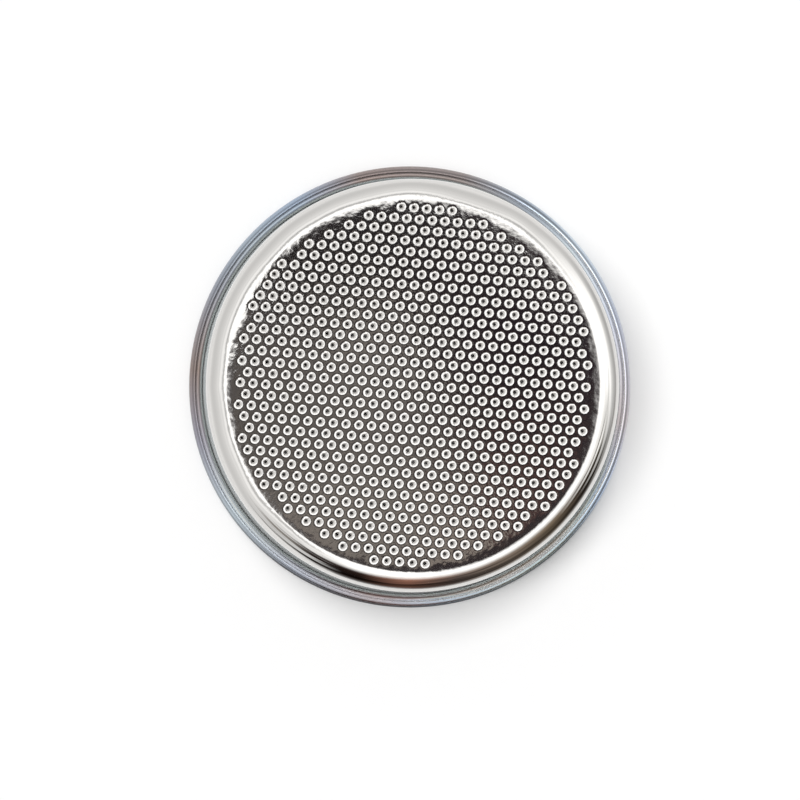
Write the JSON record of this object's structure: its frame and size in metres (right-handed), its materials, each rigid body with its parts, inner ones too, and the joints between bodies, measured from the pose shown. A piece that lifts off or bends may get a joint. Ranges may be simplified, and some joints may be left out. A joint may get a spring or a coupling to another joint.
{
  "type": "espresso filter basket",
  "caption": "Pressed stainless steel espresso filter basket with a finely perforated flat floor, a spring rib and a rolled rim.",
  "frame": {"origin": "centre of the rim's sealing face, on which the basket stands upside down as in the picture", "axes": "+Z along the basket's axis, from the mouth to the perforated floor; X along a row of holes"},
  "size_m": [0.07, 0.07, 0.0245],
  "materials": {
    "stainless_sheet": "polished"
  },
  "bodies": {
    "root": {"filter_basket": "stainless_sheet"}
  },
  "joints": []
}
